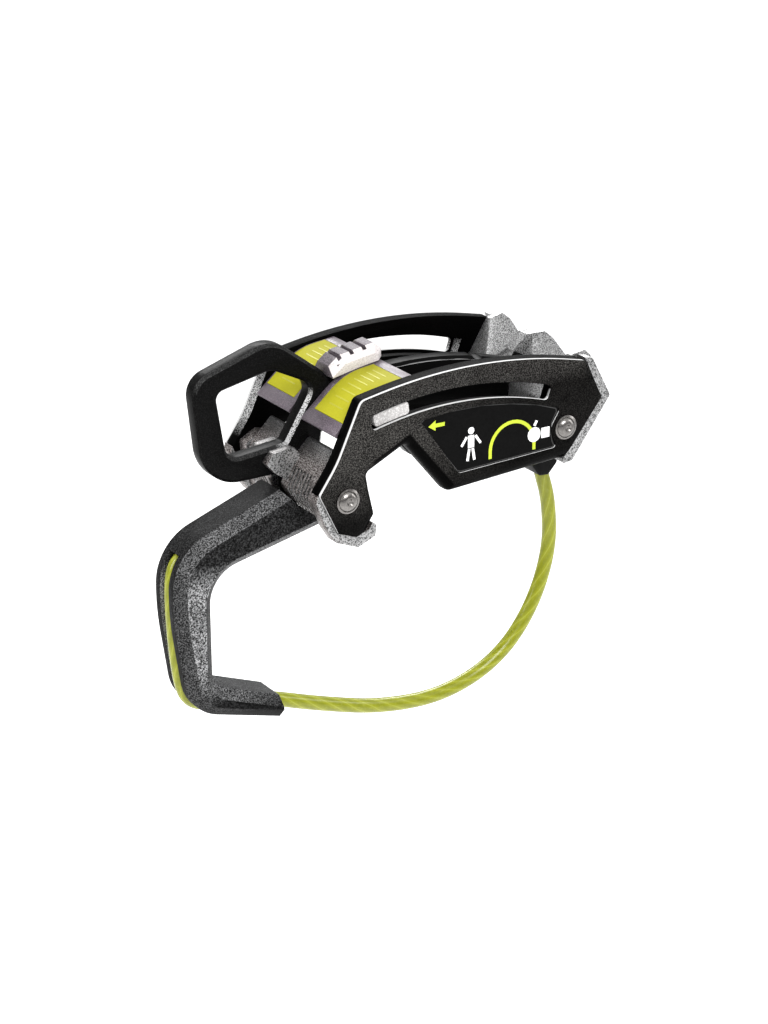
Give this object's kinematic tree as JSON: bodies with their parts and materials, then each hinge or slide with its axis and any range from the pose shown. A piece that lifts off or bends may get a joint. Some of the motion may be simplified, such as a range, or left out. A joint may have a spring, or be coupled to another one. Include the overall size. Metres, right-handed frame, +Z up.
{
  "type": "belay device",
  "caption": "Tube-style belay device for two ropes, with a thumb hook on a cable, a guide eye and a two-position slide for manual or assisted braking.",
  "frame": {"origin": "axis of the carabiner bar seated in the belly notch, on the centre plane", "axes": "+X from the hook to the rear wear insert, +Y across to the right cheek, +Z up"},
  "size_m": [0.0956, 0.0404, 0.0884],
  "materials": {
    "cheek_black": "black with a fine sparkle",
    "label_dark": "dark panel with printed pictograms",
    "eye_black": "satin black",
    "insert_steel": "bright with a rough sparkle",
    "rivet_steel": "bright",
    "hook_graphite": "graphite with a fine stipple",
    "core_steel": "stranded wire",
    "jacket_lime": "translucent lime",
    "boot_black": "matte black",
    "slide_grey": "purplish grey with a fine stipple",
    "inlay_lime": "lime with a faint relief",
    "shoe_grey": "light grey",
    "grip_grey": "grey, bright on the near slope"
  },
  "bodies": {
    "device": {"cheek_left": "cheek_black", "cheek_right": "cheek_black", "label_left": "label_dark", "label_right": "label_dark", "spine": "eye_black", "front_wear_insert_left": "insert_steel", "front_wear_insert_right": "insert_steel", "rear_wear_insert": "insert_steel", "front_rivet": "rivet_steel", "rear_rivet": "rivet_steel", "thumb_hook": "hook_graphite", "hook_pin": "rivet_steel", "hook_ferrule": "rivet_steel", "cable_core": "core_steel", "cable_jacket": "jacket_lime", "cable_boot": "boot_black", "boot_pin": "rivet_steel"},
    "mode_slide": {"slide_plate_left": "slide_grey", "slide_plate_right": "slide_grey", "slide_inlay_left": "inlay_lime", "slide_inlay_right": "inlay_lime", "slide_shoe_left": "shoe_grey", "slide_shoe_right": "shoe_grey", "thumb_grip": "grip_grey", "grip_pins": "rivet_steel", "detent_spring": "rivet_steel"}
  },
  "joints": [
    {"name": "mode_slide_travel", "type": "hinge", "parent": "device", "child": "mode_slide", "pos_m": [0.013, 0, -0.0621], "axis": [0, 1, 0], "range_deg": [0, 21], "deforming": ["detent_spring"]}
  ]
}
